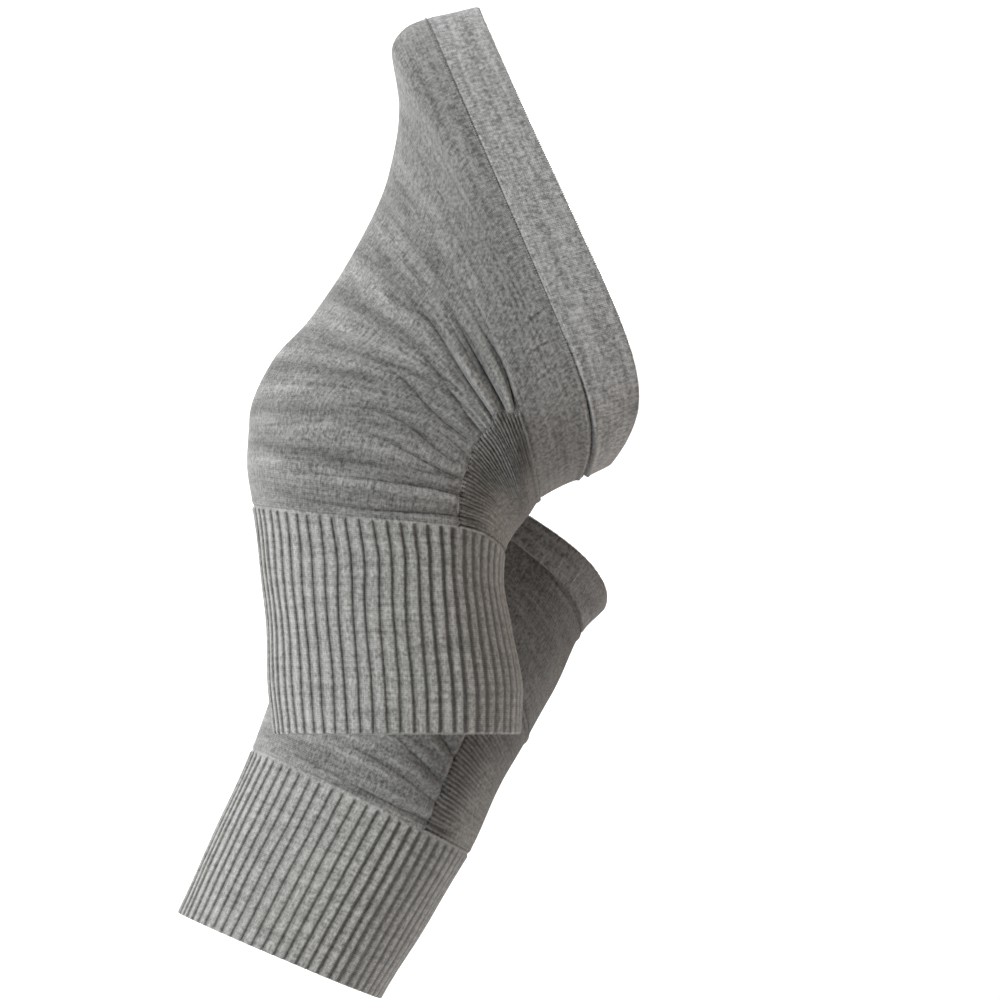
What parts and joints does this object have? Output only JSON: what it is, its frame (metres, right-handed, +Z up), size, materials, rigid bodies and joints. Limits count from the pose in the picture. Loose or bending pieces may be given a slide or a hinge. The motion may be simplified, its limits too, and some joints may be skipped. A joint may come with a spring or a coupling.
{
  "type": "pair of compression knee sleeves",
  "caption": "Knitted compression knee sleeves with ribbed cuffs, hollow as worn on crossed legs: one bent with its thigh end drawn up and open, one nearly straight behind it.",
  "frame": {"origin": "the middle of the hollow where the near knee sits, which is where the wearer's bent leg holds the near sleeve", "axes": "+Z up along the near shin, +X the way the near thigh points, +Y from the near sleeve to the far one; millimetre solids, metre row"},
  "size_m": [0.2229, 0.2884, 0.4773],
  "materials": {
    "rib_knit": "heather grey ribbed knit, matt and slightly hairy",
    "plain_knit": "heather grey plain knit with uneven lighter and darker courses",
    "panel_knit": "darker grey knit with fine ridges along its courses",
    "band_knit": "heather grey plain welt, fine and even"
  },
  "bodies": {
    "root": {"near_cuff": "rib_knit", "near_body": "plain_knit", "near_back_panel": "panel_knit", "near_band": "band_knit", "far_cuff": "rib_knit", "far_body": "plain_knit", "far_back_panel": "panel_knit", "far_band": "band_knit"}
  },
  "joints": []
}
